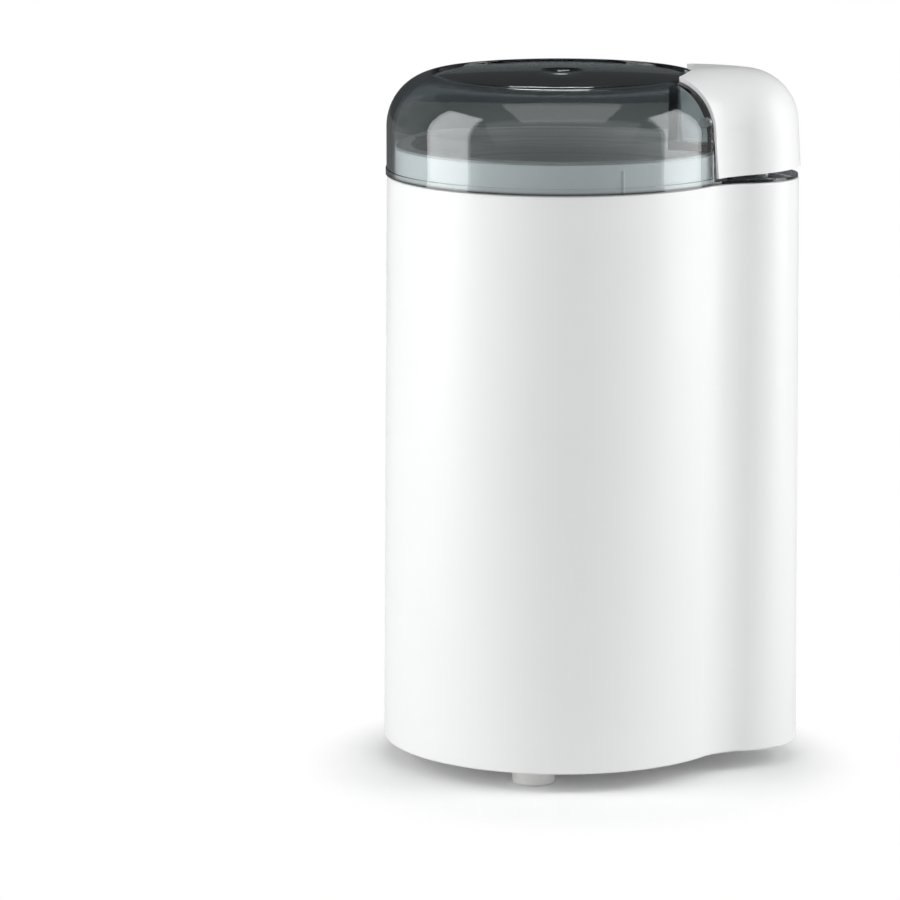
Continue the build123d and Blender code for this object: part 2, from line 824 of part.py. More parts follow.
# Armature winding: bars in the slots joined by the end turns
with BuildPart() as armature_winding:
    for start in (stator_bottom - winding_rise, stator_top + winding_gap):
        with BuildSketch(level(start)):
            Circle(winding_outer)
            Circle(winding_inner, mode=Mode.SUBTRACT)
        extrude(amount=winding_rise - winding_gap)
    fillet(armature_winding.edges().group_by(Axis.Z)[0], winding_round)
    fillet(armature_winding.edges().group_by(Axis.Z)[-1], winding_round)
    with BuildSketch(level(stator_bottom - winding_gap - bite)):
        with PolarLocations(slot_middle, slot_count):
            Rectangle(slot_depth - 2 * winding_gap, slot_width - 2 * winding_gap)
    extrude(amount=stator_stack + 2 * winding_gap + 2 * bite)

# Commutator with its bars parted by grooves
with BuildPart() as commutator:
    with BuildSketch(level(commutator_top - commutator_length)):
        Circle(commutator_radius)
        Circle(shaft_radius + seat_gap, mode=Mode.SUBTRACT)
        with PolarLocations(commutator_radius, groove_count):
            Rectangle(2 * groove_depth, groove_width, mode=Mode.SUBTRACT)
    extrude(amount=commutator_length)

# Thrust washers next to the two bushes
with BuildPart() as thrust_washers:
    for start in (bracket_top + washer_gap, carrier_level - washer_gap - washer_thickness):
        with BuildSketch(level(start)):
            Circle(washer_radius)
            Circle(shaft_radius + seat_gap, mode=Mode.SUBTRACT)
        extrude(amount=washer_thickness)

# Blade: flat hub with two wings turned and lifted toward their tips
with BuildPart() as blade:
    with BuildSketch(level(blade_level)):
        Circle(blade_hub_radius)
    extrude(amount=blade_thickness)
    blade_middle = blade_level + blade_thickness / 2
    for turn, lift in ((0, blade_tip_lift), (180, -blade_tip_lift / 2)):
        outward = (cos(radians(turn)), sin(radians(turn)), 0)
        across = (-sin(radians(turn)), cos(radians(turn)), 0)
        tilt = radians(blade_pitch)
        root = Plane(
            origin=(axis_x + blade_root * outward[0], 0, blade_middle),
            x_dir=across,
            z_dir=outward,
        )
        tip = Plane(
            origin=(axis_x + blade_reach * outward[0], 0, blade_middle + lift),
            x_dir=(0, across[1] * cos(tilt), sin(tilt)),
            z_dir=outward,
        )
        with BuildSketch(root):
            Rectangle(blade_root_width, blade_thickness)
        with BuildSketch(tip):
            Rectangle(blade_tip_width, blade_thickness)
        loft()
    with BuildSketch(level(blade_level - overrun)):
        Circle(stud_radius + seat_gap)
    extrude(amount=blade_thickness + 2 * overrun, mode=Mode.SUBTRACT)

# Domed nut that holds the blade
with BuildPart() as blade_nut:
    with BuildSketch(level(blade_level + blade_thickness)):
        Circle(nut_radius)
    extrude(amount=nut_height + stud_length - blade_thickness - nut_height / 2)
    fillet(blade_nut.edges().group_by(Axis.Z)[-1], nut_round)
    with BuildSketch(level(blade_level + blade_thickness)):
        Circle(stud_radius + seat_gap)
    extrude(amount=stud_length - blade_thickness + seat_gap, mode=Mode.SUBTRACT)

# Plunger
with BuildPart() as switch_plunger:
    with BuildSketch(level(plunger_shoulder - plunger_collar_thickness)):
        with Locations((plunger_offset, 0)):
            Circle(plunger_collar_radius)
    extrude(amount=plunger_collar_thickness)
    with BuildSketch(level(plunger_shoulder)):
        with Locations((plunger_offset, 0)):
            Circle(plunger_radius)
    extrude(amount=plunger_top - plunger_shoulder)
    with BuildSketch(level(plunger_bottom)):
        with Locations((plunger_offset, 0)):
            Circle(plunger_tip_radius)
    extrude(amount=plunger_tip_length)

# Spring under the plunger collar
plunger_spring_start = switch_top + plunger_wire_radius + seat_gap
plunger_spring_stop = (
    plunger_shoulder - plunger_collar_thickness - plunger_wire_radius - seat_gap
)
plunger_spring = coil_spring(
    Plane(origin=(axis_x + plunger_offset, 0, plunger_spring_start)),
    plunger_coil_radius,
    plunger_wire_radius,
    plunger_spring_stop - plunger_spring_start,
    plunger_coil_turns,
)

# Switch body with a hole for its button and two screw holes
with BuildPart() as switch_body:
    with BuildSketch(level(switch_bottom)):
        with Locations((plunger_offset, 0)):
            Rectangle(switch_depth, switch_width)
    extrude(amount=switch_height)
    with BuildSketch(level(switch_top)):
        with Locations((plunger_offset, 0)):
            Circle(button_radius + button_clearance)
    extrude(amount=-button_sink - button_rise, mode=Mode.SUBTRACT)
    with BuildSketch(front.offset(web_face)):
        with Locations(
            (-switch_screw_spread / 2, switch_bottom + switch_screw_rise),
            (switch_screw_spread / 2, switch_bottom + switch_screw_rise),
        ):
            Circle(switch_screw_radius + bolt_gap)
    extrude(amount=switch_depth, mode=Mode.SUBTRACT)
    with BuildSketch(level(switch_bottom)):
        with Locations((plunger_offset, 0)):
            with GridLocations(0, terminal_pitch, 1, 3):
                Rectangle(terminal_thickness + 2 * seat_gap, terminal_width + 2 * seat_gap)
    extrude(amount=terminal_root, mode=Mode.SUBTRACT)

# Switch terminals
with BuildPart() as switch_terminals:
    with BuildSketch(level(switch_bottom - terminal_length)):
        with Locations((plunger_offset, 0)):
            with GridLocations(0, terminal_pitch, 1, 3):
                Rectangle(terminal_thickness, terminal_width)
    extrude(amount=terminal_length + terminal_root)

# Switch button
with BuildPart() as switch_button:
    with BuildSketch(level(switch_top - button_sink)):
        with Locations((plunger_offset, 0)):
            Circle(button_radius)
    extrude(amount=button_sink + button_rise)

# Screws through the switch into the web
with BuildPart() as switch_screws:
    screw_places = [
        (-switch_screw_spread / 2, switch_bottom + switch_screw_rise),
        (switch_screw_spread / 2, switch_bottom + switch_screw_rise),
    ]
    with BuildSketch(front.offset(web_face + switch_depth)):
        with Locations(*screw_places):
            Circle(switch_head_radius)
    extrude(amount=switch_head_height)
    with BuildSketch(front.offset(web_face + switch_depth)):
        with Locations(*screw_places):
            Circle(switch_screw_radius)
    extrude(amount=-switch_depth - switch_screw_grip)

# Lid cover: clear dome with a crowned disc, a lever pocket and a flange over the nose
with BuildPart() as lid_hollow:
    with BuildSketch(level(lid_level)):
        Circle(lid_radius - lid_wall)
    extrude(amount=lid_height - lid_wall)
    fillet(lid_hollow.edges().group_by(Axis.Z)[-1], dome_radius - lid_wall)
    extrude(
        sector(pocket_floor - lid_wall, pocket_inner - lid_wall, -lid_wall),
        amount=lid_height,
        mode=Mode.SUBTRACT,
    )
with BuildPart() as lid_cover:
    with BuildSketch(level(lid_level)):
        Circle(lid_radius)
    extrude(amount=lid_height)
    fillet(lid_cover.edges().group_by(Axis.Z)[-1], dome_radius)
    # Bead round the lower edge
    with BuildSketch(level(lid_level)):
        Circle(lid_radius + bead_width)
    extrude(amount=bead_height)
    bead_edges = lid_cover.edges().filter_by(GeomType.CIRCLE).sort_by(SortBy.RADIUS)[-2:]
    fillet(bead_edges.sort_by(Axis.Z)[-1], bead_round)
    # Step down to the crowned disc, then the dimple in its middle
    with BuildSketch(level(disc_level)):
        Circle(disc_radius)
    extrude(amount=lid_height, mode=Mode.SUBTRACT)
    fillet(lid_cover.edges().filter_by(GeomType.CIRCLE).sort_by(Axis.Z)[-1], lip_round)
    with BuildSketch(side):
        with BuildLine():
            TangentArc((0, disc_top), (disc_radius, disc_level), tangent=(1, 0))
            Polyline(
                (disc_radius, disc_level),
                (disc_radius, disc_level - bite),
                (0, disc_level - bite),
                (0, disc_top),
            )
        make_face()
    revolve(axis=spin)
    with BuildSketch(side):
        with BuildLine():
            TangentArc((0, disc_top - dimple_depth), (dimple_radius, disc_top), tangent=(1, 0))
            Polyline((dimple_radius, disc_top), (0, disc_top), (0, disc_top - dimple_depth))
        make_face()
    revolve(axis=spin, mode=Mode.SUBTRACT)
    # Flange over the nose
    extrude(body_outline(lid_level, rim_inset + flange_inset), amount=flange_thickness)
    add(lid_hollow.part, mode=Mode.SUBTRACT)
    extrude(sector(pocket_floor, pocket_inner, 0), amount=lid_height, mode=Mode.SUBTRACT)
    extrude(
        sector(lid_level + flange_thickness, step_radius, 0),
        amount=lid_height,
        mode=Mode.SUBTRACT,
    )
    with BuildSketch(level(lid_level)):
        with Locations((plunger_offset, 0)):
            Circle(plunger_hole_radius)
    extrude(amount=flange_thickness, mode=Mode.SUBTRACT)
    # Blind holes for the pin in the two pocket walls
    with BuildSketch(side.offset(-pin_half - seat_gap)):
        with Locations((hinge_offset, hinge_level)):
            Circle(pin_radius + seat_gap)
    extrude(amount=2 * pin_half + 2 * seat_gap, mode=Mode.SUBTRACT)

# Lever: shell over the nose, drawn pressed and then turned up to its rest
lever_step = step_radius + lever_side_gap
lever_drop = pocket_floor + lever_press_gap - lever_low
ear_length = nose_reach
lever_room = lever_form(
    lever_low - overrun,
    lever_shell_inset + lever_wall,
    lever_top - lever_wall,
    lever_bow - lever_wall,
    lever_round - lever_wall,
)
lever_block = lever_form(lever_low, lever_shell_inset, lever_top, lever_bow, lever_round)
with BuildPart() as lever_hollow:
    add(lever_room)
    extrude(
        sector(lever_low - overrun, lever_inner + lever_wall, lever_side_gap + lever_wall),
        amount=lever_top - lever_low + overrun,
        mode=Mode.INTERSECT,
    )
    # Two ears that carry the pin
    for start in (ear_spread / 2, -ear_spread / 2 - ear_length):
        with BuildSketch(side.offset(start)):
            with Locations((hinge_offset, hinge_level)):
                Circle(ear_radius)
                Rectangle(2 * ear_radius, lid_height, align=(Align.CENTER, Align.MIN))
        extrude(amount=ear_length, mode=Mode.SUBTRACT)
    # Post that meets the plunger, with a shoulder for the spring
    with BuildSketch(level(lever_low - overrun)):
        with Locations((plunger_offset, 0)):
            Circle(post_radius)
    extrude(amount=lid_height, mode=Mode.SUBTRACT)
    with BuildSketch(level(lever_low + post_shoulder_rise)):
        with Locations((plunger_offset, 0)):
            Circle(post_shoulder_radius)
    extrude(amount=lid_height, mode=Mode.SUBTRACT)
with BuildPart() as lever_pressed:
    add(lever_block)
    extrude(
        sector(lever_low, lever_inner, lever_side_gap),
        amount=lever_top - lever_low,
        mode=Mode.INTERSECT,
    )
    with BuildSketch(level(lever_low)):
        Circle(lever_step)
    extrude(amount=lever_drop, mode=Mode.SUBTRACT)
    add(lever_hollow.part, mode=Mode.SUBTRACT)
    with BuildSketch(level(post_bottom)):
        with Locations((plunger_offset, 0)):
            Circle(post_radius)
    extrude(amount=lever_low + bite - post_bottom)
    with BuildSketch(side.offset(-nose_reach)):
        with Locations((hinge_offset, hinge_level)):
            Circle(pin_radius + run_gap)
    extrude(amount=2 * nose_reach, mode=Mode.SUBTRACT)
with BuildPart() as lever:
    add(lever_pressed.part.rotate(hinge_axis, -lever_tilt))

# Hinge pin
with BuildPart() as hinge_pin:
    with BuildSketch(side.offset(-pin_half)):
        with Locations((hinge_offset, hinge_level)):
            Circle(pin_radius)
    extrude(amount=2 * pin_half)

# Spring round the lever post
lever_spring_start = lid_level + flange_thickness + lever_wire_radius + seat_gap
lever_spring_stop = lever_low + post_shoulder_rise + post_travel - lever_wire_radius - seat_gap
lever_spring = coil_spring(
    Plane(origin=(axis_x + plunger_offset, 0, lever_spring_start)),
    lever_coil_radius,
    lever_wire_radius,
    lever_spring_stop - lever_spring_start - lever_wire_radius,
    lever_coil_turns,
)

pieces = {
    "housing": housing.part,
    "base_plate": base_plate.part,
    "base_screws": base_screws.part,
    "feet": feet.part,
    "cord_gland": cord_gland.part,
    "grinding_bowl": grinding_bowl.part,
    "bowl_seal": bowl_seal.part,
    "shaft_seal": shaft_seal.part,
    "motor_carrier": motor_carrier.part,
    "upper_bush": upper_bush.part,
    "carrier_screws": carrier_screws.part,
    "stator_core": stator_core.part,
    "field_coils": field_coils.part,
    "motor_bolts": motor_bolts.part,
    "lower_bracket": lower_bracket.part,
    "lower_bush": lower_bush.part,
    "brush_holders": brush_holders.part,
    "carbon_brushes": carbon_brushes.part,
    "brush_springs": Compound(children=brush_springs),
    "motor_shaft": motor_shaft.part,
    "armature_core": armature_core.part,
    "armature_winding": armature_winding.part,
    "commutator": commutator.part,
    "thrust_washers": thrust_washers.part,
    "blade": blade.part,
    "blade_nut": blade_nut.part,
    "switch_plunger": switch_plunger.part,
    "plunger_spring": plunger_spring,
    "switch_body": switch_body.part,
    "switch_terminals": switch_terminals.part,
    "switch_button": switch_button.part,
    "switch_screws": switch_screws.part,
    "lid_cover": lid_cover.part,
    "lever": lever.part,
    "hinge_pin": hinge_pin.part,
    "lever_spring": lever_spring,
}
for piece_name, piece in pieces.items():
    piece.label = piece_name
    export_step(piece, f"parts/{piece_name}.step")
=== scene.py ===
import json
import math

import bpy
import numpy as np
from mathutils import Matrix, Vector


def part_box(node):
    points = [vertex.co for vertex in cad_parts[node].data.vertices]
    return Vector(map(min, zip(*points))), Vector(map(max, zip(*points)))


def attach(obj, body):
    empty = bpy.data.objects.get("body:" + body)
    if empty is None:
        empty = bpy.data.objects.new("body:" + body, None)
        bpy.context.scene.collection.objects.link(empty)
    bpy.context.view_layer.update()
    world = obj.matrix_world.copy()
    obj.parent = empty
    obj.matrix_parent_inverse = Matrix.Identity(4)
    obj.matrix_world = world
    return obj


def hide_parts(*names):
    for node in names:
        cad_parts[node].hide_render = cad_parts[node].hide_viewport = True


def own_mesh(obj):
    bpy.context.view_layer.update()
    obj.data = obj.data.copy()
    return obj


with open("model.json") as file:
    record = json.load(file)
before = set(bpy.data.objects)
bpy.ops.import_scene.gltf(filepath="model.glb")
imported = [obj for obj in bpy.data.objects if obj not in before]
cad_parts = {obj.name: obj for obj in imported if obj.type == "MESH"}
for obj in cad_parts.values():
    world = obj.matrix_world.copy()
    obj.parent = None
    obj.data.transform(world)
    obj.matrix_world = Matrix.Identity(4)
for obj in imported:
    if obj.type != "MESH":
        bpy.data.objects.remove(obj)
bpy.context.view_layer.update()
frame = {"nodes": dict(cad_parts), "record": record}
nodes = frame["nodes"]
print("frame loaded,", len(nodes), "nodes")

bpy.context.scene.view_settings.view_transform = "Standard"

# motor axis and blade level in the frame, read from the blade's joint
joints = frame["record"]["behaviour"]["joints"]
bladeJoint = next(joint for joint in joints if joint["name"] == "blade_spin")
axisX, bladeLevel = bladeJoint["pos_m"][0], bladeJoint["pos_m"][2]


def put(tree, kind, **values):
    # one node: plain settings by name, socket values by name with _ for spaces
    node = tree.nodes.new(kind)
    for key, value in values.items():
        if hasattr(node, key):
            setattr(node, key, value)
        else:
            node.inputs[key.replace("_", " ")].default_value = value
    return node


def join(tree, source, target):
    tree.links.new(source, target)


def feed(tree, value, socket):
    # a number or a colour is set on the socket, an output is linked to it
    if isinstance(value, (int, float)):
        socket.default_value = value
    elif isinstance(value, tuple):
        socket.default_value = (*value, 1)
    else:
        join(tree, value, socket)


def calc(tree, operation, first, second=None):
    # one Math node fed by sockets or plain numbers
    node = put(tree, "ShaderNodeMath", operation=operation)
    feed(tree, first, node.inputs[0])
    if second is not None:
        feed(tree, second, node.inputs[1])
    return node.outputs[0]


def fit(tree, value, span, target=(0.0, 1.0), smooth=False):
    # Map Range from one span to another
    node = put(tree, "ShaderNodeMapRange", interpolation_type="SMOOTHSTEP" if smooth else "LINEAR")
    join(tree, value, node.inputs["Value"])
    for label, number in zip(("From Min", "From Max", "To Min", "To Max"), (*span, *target)):
        node.inputs[label].default_value = number
    return node.outputs["Result"]


def blend(tree, amount, first, second):
    # colour mix, both ends a socket or a plain colour
    node = put(tree, "ShaderNodeMix", data_type="RGBA")
    for label, value in (("Factor", amount), ("A", first), ("B", second)):
        feed(tree, value, next(s for s in node.inputs if s.name == label and s.enabled))
    return next(s for s in node.outputs if s.enabled)


def noiseAt(tree, vector, scale, detail=2.0, rough=0.5):
    # soft noise over a vector, about 0.5
    node = put(tree, "ShaderNodeTexNoise", Detail=detail, Roughness=rough)
    join(tree, vector, node.inputs["Vector"])
    feed(tree, scale, node.inputs["Scale"])
    return node.outputs["Fac"]


def objectPlace(tree):
    return tree.nodes.new("ShaderNodeTexCoord").outputs["Object"]


def splitPlace(tree, place):
    # X, Y and Z of a place as sockets
    node = tree.nodes.new("ShaderNodeSeparateXYZ")
    join(tree, place, node.inputs[0])
    return node.outputs


def distanceFrom(tree, place, spot):
    node = put(tree, "ShaderNodeVectorMath", operation="DISTANCE")
    join(tree, place, node.inputs[0])
    node.inputs[1].default_value = spot
    return node.outputs["Value"]


def newGroup(name, inputs):
    # shader node group with named inputs (name, default) that puts out a colour, a roughness and a height
    group = bpy.data.node_groups.new(name, "ShaderNodeTree")
    for label, default in inputs.items():
        isColour = isinstance(default, tuple)
        kind = "NodeSocketColor" if isColour else "NodeSocketFloat"
        socket = group.interface.new_socket(label, in_out="INPUT", socket_type=kind)
        socket.default_value = (*default, 1) if isColour else default
    for label, kind in (("Color", "NodeSocketColor"), ("Roughness", "NodeSocketFloat"), ("Height", "NodeSocketFloat")):
        group.interface.new_socket(label, in_out="OUTPUT", socket_type=kind)
    return group, group.nodes.new("NodeGroupInput").outputs, group.nodes.new("NodeGroupOutput").inputs


# moulded plastic or rubber: cloudy tone, hand smudges in the gloss, fine mould grain
mouldPattern = {"cloudNoise": (4.0, 0.55), "cloudSpan": (0.35, 0.7), "grainDetail": 1.0,
                "handScale": 55.0, "handNoise": (3.0, 0.6), "handSpan": (0.3, 0.7)}


def makeMouldGrain(plan):
    tree, given, result = newGroup("mouldGrain", {
        "Tone": (0.8, 0.8, 0.8), "Shade": (0.7, 0.7, 0.7), "Cloud": 28.0, "Grain": 3600.0,
        "Roughness": 0.3, "Smudge": 0.06})
    place = objectPlace(tree)
    cloud = noiseAt(tree, place, given["Cloud"], *plan["cloudNoise"])
    speck = noiseAt(tree, place, given["Grain"], plan["grainDetail"])
    hand = noiseAt(tree, place, plan["handScale"], *plan["handNoise"])
    amount = fit(tree, cloud, plan["cloudSpan"], smooth=True)
    join(tree, blend(tree, amount, given["Tone"], given["Shade"]), result["Color"])
    wipe = calc(tree, "MULTIPLY", fit(tree, hand, plan["handSpan"], (-1.0, 1.0)), given["Smudge"])
    join(tree, calc(tree, "ADD", given["Roughness"], wipe), result["Roughness"])
    join(tree, speck, result["Height"])
    return tree


# turned or spun metal: fine rings round the motor axis, from noise on (radius, height, a little angle)
turnedPattern = {"angleShare": 1.6, "lineNoise": (3.0, 0.6), "lineSpan": (0.3, 0.7), "lineShare": 0.7,
                 "wearScale": 90.0, "wearDetail": 3.0, "wearShare": 0.6}


def makeTurnedLines(plan):
    tree, given, result = newGroup("turnedLines", {
        "Tone": (0.6, 0.6, 0.6), "Shade": (0.45, 0.45, 0.45), "Fineness": 2600.0,
        "Roughness": 0.25, "Spread": 0.12})
    place = objectPlace(tree)
    split = splitPlace(tree, place)
    across = calc(tree, "SUBTRACT", split["X"], axisX)
    squares = [calc(tree, "MULTIPLY", side, side) for side in (across, split["Y"])]
    radius = calc(tree, "SQRT", calc(tree, "ADD", *squares))
    angle = calc(tree, "ARCTAN2", split["Y"], across)
    ring = tree.nodes.new("ShaderNodeCombineXYZ")
    join(tree, calc(tree, "MULTIPLY", radius, given["Fineness"]), ring.inputs["X"])
    join(tree, calc(tree, "MULTIPLY", split["Z"], given["Fineness"]), ring.inputs["Y"])
    join(tree, calc(tree, "MULTIPLY", calc(tree, "SINE", angle), plan["angleShare"]), ring.inputs["Z"])
    lines = noiseAt(tree, ring.outputs[0], 1.0, *plan["lineNoise"])
    wear = noiseAt(tree, place, plan["wearScale"], plan["wearDetail"])
    amount = fit(tree, lines, plan["lineSpan"])
    join(tree, blend(tree, amount, given["Tone"], given["Shade"]), result["Color"])
    mixed = calc(tree, "ADD", calc(tree, "MULTIPLY", amount, plan["lineShare"]),
                 calc(tree, "MULTIPLY", wear, plan["wearShare"]))
    spread = calc(tree, "MULTIPLY", mixed, given["Spread"])
    join(tree, calc(tree, "ADD", given["Roughness"], spread), result["Roughness"])
    join(tree, lines, result["Height"])
    return tree


# stacked sheets or wound wire: even ridges along a direction, rounded by a sine, darker in the grooves: dark joints
# between sheets, painted shade in the creases between wire turns
ridgePattern = {"waverScale": 160.0, "waverDepth": 0.0002, "tintScale": 240.0, "tintDetail": 3.0,
                "tintSpan": (0.2, 0.8), "tintShare": (0.7, 1.15), "tintGloss": 0.2,
                "jointAndShadePower": 2.0, "jointAndShadeShare": 0.85}


def makeRidgeRows(plan):
    tree, given, result = newGroup("ridgeRows", {
        "Tone": (0.5, 0.5, 0.5), "Shade": (0.2, 0.2, 0.2), "Along X": 0.0, "Along Y": 0.0, "Along Z": 1.0,
        "Pitch": 0.0006, "Roughness": 0.4})
    place = objectPlace(tree)
    split = splitPlace(tree, place)
    terms = [calc(tree, "MULTIPLY", split[letter], given["Along " + letter]) for letter in "XYZ"]
    total = calc(tree, "ADD", calc(tree, "ADD", terms[0], terms[1]), terms[2])
    waver = calc(tree, "MULTIPLY", noiseAt(tree, place, plan["waverScale"]), plan["waverDepth"])
    turns = calc(tree, "DIVIDE", calc(tree, "ADD", total, waver), given["Pitch"])
    wave = fit(tree, calc(tree, "SINE", calc(tree, "MULTIPLY", turns, 2 * math.pi)), (-1.0, 1.0))
    tint = noiseAt(tree, place, plan["tintScale"], plan["tintDetail"])
    # grooves darkened: the dark joints between stacked sheets, painted shade in the creases between wire turns
    jointAndCreaseShade = calc(tree, "POWER", calc(tree, "SUBTRACT", 1.0, wave), plan["jointAndShadePower"])
    amount = calc(tree, "MULTIPLY", calc(tree, "MULTIPLY", jointAndCreaseShade, plan["jointAndShadeShare"]),
                  fit(tree, tint, plan["tintSpan"], plan["tintShare"]))
    join(tree, blend(tree, amount, given["Tone"], given["Shade"]), result["Color"])
    dull = calc(tree, "MULTIPLY", tint, plan["tintGloss"])
    join(tree, calc(tree, "ADD", given["Roughness"], dull), result["Roughness"])
    join(tree, wave, result["Height"])
    return tree


mouldGrain = makeMouldGrain(mouldPattern)
turnedLines = makeTurnedLines(turnedPattern)
ridgeRows = makeRidgeRows(ridgePattern)
print("node groups made")

materials = {}


def newMaterial(name, group, values, depth, strength, **shader):
    # Principled material fed by one group: colour, roughness and a bump of a depth and strength from its height
    mat = bpy.data.materials.new(name)
    mat.use_nodes = True
    tree = mat.node_tree
    tree.nodes.clear()
    out = tree.nodes.new("ShaderNodeOutputMaterial")
    skin = put(tree, "ShaderNodeBsdfPrincipled", **shader)
    pattern = tree.nodes.new("ShaderNodeGroup")
    pattern.node_tree = group
    for label, value in values.items():
        feed(tree, value, pattern.inputs[label])
    join(tree, pattern.outputs["Color"], skin.inputs["Base Color"])
    join(tree, pattern.outputs["Roughness"], skin.inputs["Roughness"])
    bump = put(tree, "ShaderNodeBump", Strength=strength, Distance=depth)
    join(tree, pattern.outputs["Height"], bump.inputs["Height"])
    join(tree, bump.outputs["Normal"], skin.inputs["Normal"])
    join(tree, skin.outputs[0], out.inputs["Surface"])
    materials[name] = mat
    return tree, pattern, skin, out


whiteShell = {"Tone": (0.80, 0.80, 0.80), "Shade": (0.793, 0.793, 0.794), "Cloud": 22.0, "Grain": 4200.0,
              "Roughness": 0.34, "Smudge": 0.04}
paleFoot = {"Tone": (0.88, 0.876, 0.865), "Shade": (0.85, 0.846, 0.835), "Cloud": 160.0, "Grain": 2600.0,
            "Roughness": 0.48, "Smudge": 0.08}
darkSeal = {"Tone": (0.035, 0.035, 0.037), "Shade": (0.055, 0.054, 0.053), "Cloud": 120.0, "Grain": 2400.0,
            "Roughness": 0.62, "Smudge": 0.1}
blackMould = {"Tone": (0.022, 0.022, 0.024), "Shade": (0.034, 0.034, 0.035), "Cloud": 70.0, "Grain": 3000.0,
              "Roughness": 0.42, "Smudge": 0.08}
carbonBlock = {"Tone": (0.03, 0.03, 0.031), "Shade": (0.07, 0.07, 0.072), "Cloud": 900.0, "Grain": 5200.0,
               "Roughness": 0.6, "Smudge": 0.12}
spunBowl = {"Tone": (0.46, 0.457, 0.45), "Shade": (0.36, 0.358, 0.353), "Fineness": 2600.0,
            "Roughness": 0.52, "Spread": 0.1}
blankedBlade = {"Tone": (0.66, 0.655, 0.645), "Shade": (0.52, 0.515, 0.51), "Fineness": 3400.0,
                "Roughness": 0.22, "Spread": 0.16}
platedScrew = {"Tone": (0.58, 0.57, 0.54), "Shade": (0.44, 0.43, 0.41), "Fineness": 4200.0,
               "Roughness": 0.28, "Spread": 0.14}
drawnSpring = {"Tone": (0.55, 0.55, 0.55), "Shade": (0.36, 0.36, 0.37), "Fineness": 5200.0,
               "Roughness": 0.26, "Spread": 0.16}
rolledBrass = {"Tone": (0.72, 0.52, 0.24), "Shade": (0.55, 0.38, 0.17), "Fineness": 3000.0,
               "Roughness": 0.28, "Spread": 0.16}
oilBronze = {"Tone": (0.46, 0.31, 0.16), "Shade": (0.30, 0.2, 0.11), "Fineness": 2200.0,
             "Roughness": 0.36, "Spread": 0.2}
# Shade here is the groove colour: dark joints for the sheets, painted shade between the wire turns
sheetStack = {"Tone": (0.33, 0.33, 0.34), "Shade": (0.10, 0.095, 0.09), "Along Z": 1.0,
              "Pitch": 0.0007, "Roughness": 0.36}
coilWire = {"Tone": (0.66, 0.29, 0.12), "Shade": (0.20, 0.07, 0.03), "Along Z": 1.0, "Along Y": 0.55,
            "Pitch": 0.0009, "Roughness": 0.26}

newMaterial("whitePlastic", mouldGrain, whiteShell, depth=0.00001, strength=0.06, IOR=1.37)
newMaterial("footRubber", mouldGrain, paleFoot, depth=0.00004, strength=0.25, IOR=1.48)
newMaterial("sealRubber", mouldGrain, darkSeal, depth=0.00005, strength=0.3, IOR=1.5)
newMaterial("blackPlastic", mouldGrain, blackMould, depth=0.00003, strength=0.25, IOR=1.5)
newMaterial("brushCarbon", mouldGrain, carbonBlock, depth=0.00005, strength=0.3, IOR=1.7)
newMaterial("bowlSteel", turnedLines, spunBowl, depth=0.00002, strength=0.12, Metallic=1.0)
newMaterial("bladeSteel", turnedLines, blankedBlade, depth=0.00002, strength=0.14, Metallic=1.0)
newMaterial("screwSteel", turnedLines, platedScrew, depth=0.00002, strength=0.14, Metallic=1.0)
newMaterial("springSteel", turnedLines, drawnSpring, depth=0.00002, strength=0.14, Metallic=1.0)
newMaterial("brass", turnedLines, rolledBrass, depth=0.00002, strength=0.14, Metallic=1.0)
newMaterial("bronze", turnedLines, oilBronze, depth=0.00003, strength=0.2, Metallic=1.0)
newMaterial("coreSteel", ridgeRows, sheetStack, depth=0.00008, strength=0.5, Metallic=1.0)
newMaterial("copperWire", ridgeRows, coilWire, depth=0.00012, strength=0.6, Metallic=1.0)

# smoke-grey clear plastic: clear skin, absorption in the wall, lamp light let through, a painted shade line at the
# foot
smokeLid = {"Tone": (0.935, 0.99, 1.0), "Shade": (0.915, 0.97, 0.98), "Cloud": 40.0, "Grain": 90.0,
            "Roughness": 0.03, "Smudge": 0.02}
smokeWall = {"lampShare": (0.96, 0.96, 0.96, 1), "colour": (0.0, 0.035, 0.035, 1), "density": 122.0,
             "paintedShadeDepth": 0.0008, "paintedShadeMargin": 0.0003, "paintedFootShade": (0.14, 0.145, 0.145)}


def makeSmokePlastic(values, plan):
    tree, pattern, skin, out = newMaterial("smokePlastic", mouldGrain, values, depth=0.00004, strength=0.03,
                                           Transmission_Weight=1.0, IOR=1.46)
    clear = put(tree, "ShaderNodeBsdfTransparent", Color=plan["lampShare"])
    mixer = tree.nodes.new("ShaderNodeMixShader")
    join(tree, tree.nodes.new("ShaderNodeLightPath").outputs["Is Shadow Ray"], mixer.inputs["Fac"])
    join(tree, skin.outputs[0], mixer.inputs[1])
    join(tree, clear.outputs[0], mixer.inputs[2])
    join(tree, mixer.outputs[0], out.inputs["Surface"])
    murk = put(tree, "ShaderNodeVolumeAbsorption", Color=plan["colour"], Density=plan["density"])
    join(tree, murk.outputs[0], out.inputs["Volume"])
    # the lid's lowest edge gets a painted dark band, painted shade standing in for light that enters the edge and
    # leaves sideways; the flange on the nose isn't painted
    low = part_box("lid_cover")[0]
    place = objectPlace(tree)
    above = fit(tree, splitPlace(tree, place)["Z"], (low[2], low[2] + plan["paintedShadeDepth"]), smooth=True)
    flat = put(tree, "ShaderNodeVectorMath", operation="MULTIPLY")
    join(tree, place, flat.inputs[0])
    flat.inputs[1].default_value = (1, 1, 0)
    reach = distanceFrom(tree, flat.outputs[0], (axisX, 0, 0))
    beyond = calc(tree, "GREATER_THAN", reach, axisX - low[0] + plan["paintedShadeMargin"])
    # the mask is 0 in the foot band, where Base Color takes the painted shade colour
    plain = calc(tree, "MAXIMUM", above, beyond)
    join(tree, blend(tree, plain, plan["paintedFootShade"], pattern.outputs["Color"]), skin.inputs["Base Color"])


makeSmokePlastic(smokeLid, smokeWall)

